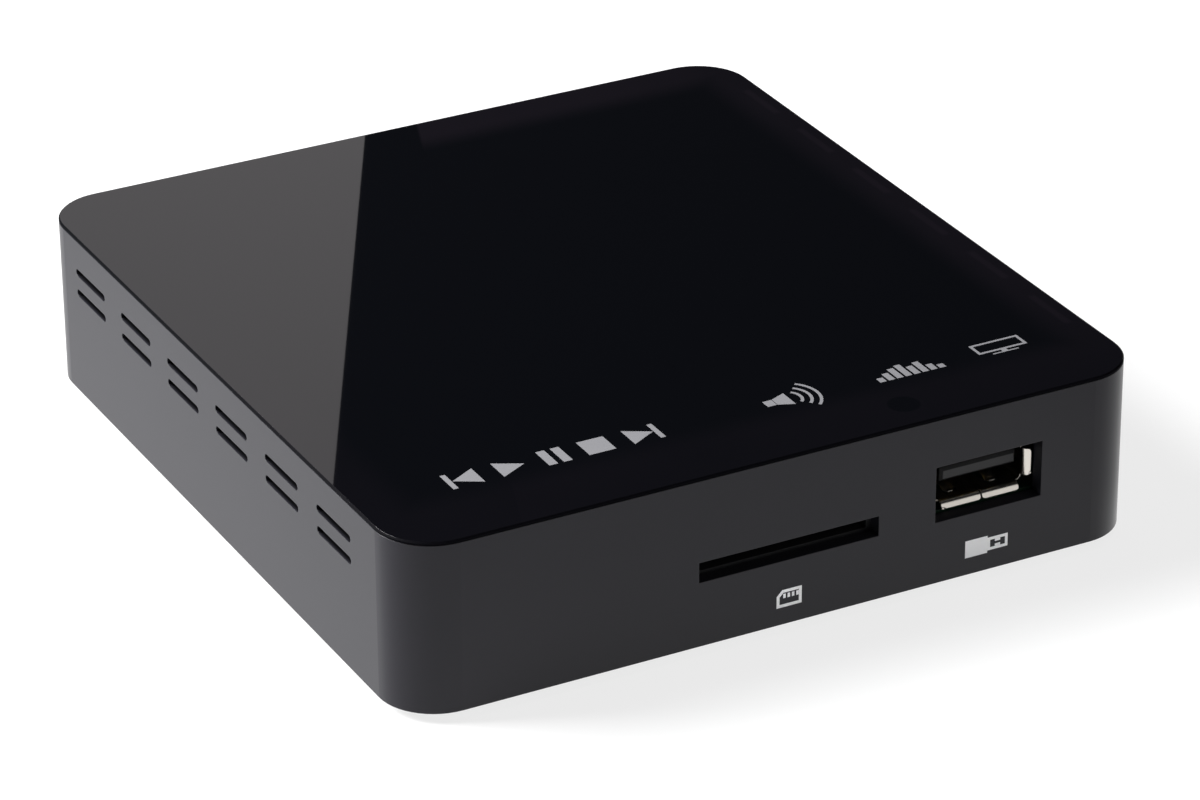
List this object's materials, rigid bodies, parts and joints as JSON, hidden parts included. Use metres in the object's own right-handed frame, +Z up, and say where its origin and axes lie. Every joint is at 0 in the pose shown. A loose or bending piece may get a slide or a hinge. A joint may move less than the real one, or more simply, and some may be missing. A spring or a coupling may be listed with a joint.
{
  "type": "network media player",
  "caption": "Low square-sided media player box with rounded corners, a gloss black top, side vents, front card and data sockets and a rear hard drive tray.",
  "frame": {"origin": "on the surface that the feet stand on, under the middle of the case", "axes": "+X to the viewer's right at the front, +Y from the front to the rear, +Z up"},
  "size_m": [0.105, 0.112, 0.025],
  "materials": {
    "shell_plastic": "satin moulded",
    "smoked_acrylic": "high gloss",
    "black_tape": "matt",
    "dark_lens": "gloss",
    "foot_rubber": "matt",
    "black_screw": "black zinc",
    "zinc_screw": "zinc",
    "green_board": "solder mask",
    "connector_plastic": "moulded",
    "connector_steel": "plated",
    "contact_gold": "plated",
    "chip_plastic": "moulded",
    "pad_grey": "soft",
    "sink_aluminium": "black anodised",
    "can_aluminium": "sleeve",
    "ferrite": "sintered",
    "crystal_steel": "plated",
    "spring_steel": "bright",
    "drive_casting": "cast",
    "drive_lid_steel": "stamped",
    "drive_green": "solder mask",
    "tray_plastic": "moulded",
    "bezel_plastic": "satin moulded",
    "handle_plastic": "satin moulded",
    "cage_steel": "galvanised"
  },
  "bodies": {
    "case": {"body_shell": "shell_plastic", "top_panel": "smoked_acrylic", "panel_tape": "black_tape", "ir_window": "dark_lens", "bottom_cover": "shell_plastic", "rubber_feet": "foot_rubber", "case_screws": "black_screw", "main_board": "green_board", "board_screws": "zinc_screw", "card_housing": "connector_plastic", "card_cover": "connector_steel", "card_contacts": "contact_gold", "card_spring": "spring_steel", "usb_shell": "connector_steel", "usb_tongue": "connector_plastic", "usb_contacts": "contact_gold", "dc_jack": "connector_plastic", "dc_centre_pin": "contact_gold", "hdmi_shell": "connector_steel", "hdmi_tongue": "connector_plastic", "reset_switch": "connector_plastic", "main_chip": "chip_plastic", "thermal_pad": "pad_grey", "heat_sink": "sink_aluminium", "memory_chips": "chip_plastic", "flash_chip": "chip_plastic", "power_capacitors": "can_aluminium", "power_inductors": "ferrite", "crystal": "crystal_steel", "ir_receiver": "connector_plastic", "sata_riser": "green_board", "sata_socket": "connector_plastic", "drive_cage": "cage_steel", "cage_standoffs": "zinc_screw", "cage_screws": "zinc_screw", "av_jack": "connector_plastic", "digital_jack": "connector_plastic"},
    "tray": {"drive_tray": "tray_plastic", "tray_bezel": "bezel_plastic", "handle_pin": "zinc_screw", "drive_base": "drive_casting", "drive_lid": "drive_lid_steel", "drive_screws": "zinc_screw", "drive_board": "drive_green", "drive_plug": "connector_plastic"},
    "handle": {"tray_handle": "handle_plastic"},
    "card_carrier": {"card_slider": "connector_plastic"},
    "reset": {"reset_button": "connector_plastic"}
  },
  "joints": [
    {"name": "tray_slide", "type": "slide", "parent": "case", "child": "tray", "axis": [0, 1, 0], "range_m": [0, 0.1]},
    {"name": "handle_hinge", "type": "hinge", "parent": "tray", "child": "handle", "pos_m": [0.01475, 0.0546, 0.0176], "axis": [0, 0, -1], "range_deg": [0, 70]},
    {"name": "card_push", "type": "slide", "parent": "case", "child": "card_carrier", "axis": [0, 1, 0], "range_m": [0, 0.003], "stiffness_N_per_m": 200, "springref_m": -0.001, "deforming": ["card_spring"]},
    {"name": "reset_push", "type": "slide", "parent": "case", "child": "reset", "axis": [0, -1, 0], "range_m": [0, 0.0003], "stiffness_N_per_m": 400, "springref_m": -0.0005}
  ]
}
